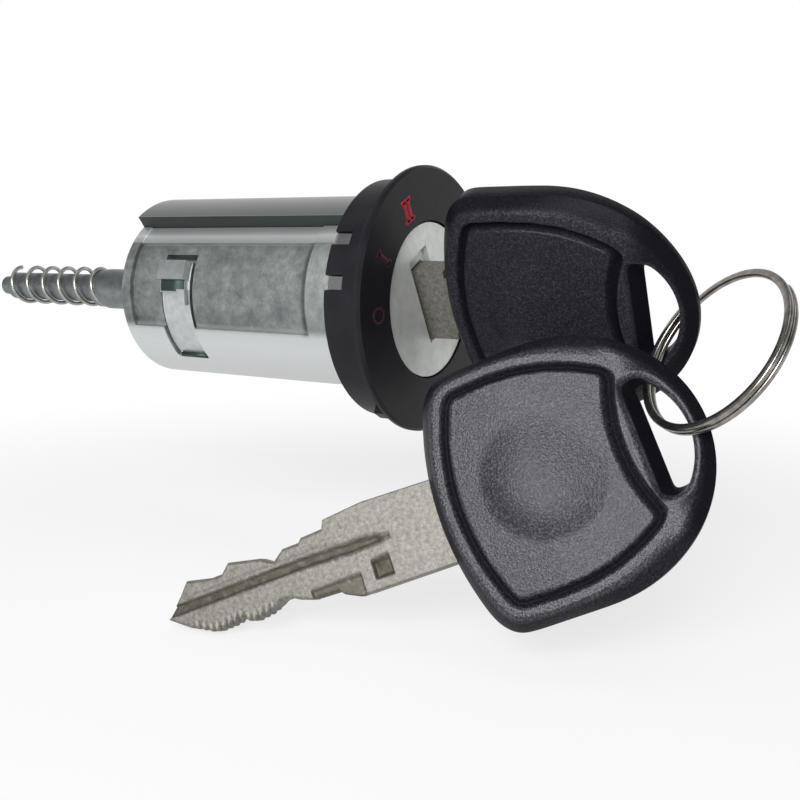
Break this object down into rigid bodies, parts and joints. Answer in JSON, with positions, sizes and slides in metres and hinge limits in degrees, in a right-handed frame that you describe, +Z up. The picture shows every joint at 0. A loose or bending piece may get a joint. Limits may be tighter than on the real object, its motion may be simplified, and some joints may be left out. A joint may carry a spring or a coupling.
{
  "type": "ignition lock cylinder",
  "caption": "Ignition lock cylinder: cast barrel with black bezel and sprung drive tail, a key in the turning plug and a spare key on a split ring.",
  "frame": {"origin": "on the lock axis, in the plane where the bezel collar seats", "axes": "+X along the lock axis towards the key, +Z up through the barrel's raised land, +Y away from the detent clip"},
  "size_m": [0.1146, 0.0408, 0.0498],
  "materials": {
    "die_cast": "die-cast zinc, satin with a rough side panel",
    "bezel_plastic": "black moulded plastic",
    "plug_metal": "light satin plated face",
    "wafer_brass": "stamped",
    "spring_steel": "drawn wire and strip",
    "tail_steel": "turned",
    "key_steel": "nickel plated, milled",
    "key_plastic": "black grained plastic",
    "ring_steel": "bright plated wire"
  },
  "bodies": {
    "housing": {"barrel": "die_cast", "bezel_ring": "bezel_plastic"},
    "detent": {"detent_clip": "spring_steel"},
    "plug": {"plug": "plug_metal", "wafer_1": "wafer_brass", "wafer_2": "wafer_brass", "wafer_3": "wafer_brass", "wafer_4": "wafer_brass", "wafer_5": "wafer_brass", "wafer_6": "wafer_brass", "wafer_7": "wafer_brass", "wafer_8": "wafer_brass", "wafer_spring_1": "spring_steel", "wafer_spring_2": "spring_steel", "wafer_spring_3": "spring_steel", "wafer_spring_4": "spring_steel", "wafer_spring_5": "spring_steel", "wafer_spring_6": "spring_steel", "wafer_spring_7": "spring_steel", "wafer_spring_8": "spring_steel", "retaining_circlip": "spring_steel", "tail_shaft": "tail_steel", "tail_pin": "tail_steel", "tail_spring": "spring_steel", "key_blade": "key_steel", "key_head": "key_plastic"},
    "ring": {"split_ring": "ring_steel"},
    "spare_key": {"spare_key_blade": "key_steel", "spare_key_head": "key_plastic"}
  },
  "joints": [
    {"name": "key_turn", "type": "hinge", "parent": "housing", "child": "plug", "pos_m": [0, 0, 0], "axis": [1, 0, 0], "range_deg": [-36.5, 67]},
    {"name": "catch_press", "type": "hinge", "parent": "housing", "child": "detent", "pos_m": [-0.0244, -0.00675, -0.00724], "axis": [1, 0, 0], "range_deg": [-5, 0], "stiffness_Nm_per_rad": 0.15},
    {"name": "ring_swing", "type": "hinge", "parent": "plug", "child": "ring", "pos_m": [0.03409, 0.00159, -0.00295], "axis": [0.379, -0.44, 0.8141], "range_deg": [-6, 35]},
    {"name": "spare_key_swing", "type": "hinge", "parent": "ring", "child": "spare_key", "pos_m": [0.03703, -0.00654, -0.00886], "axis": [-0.5897, 0.1449, 0.7945], "range_deg": [-6, 35]}
  ]
}
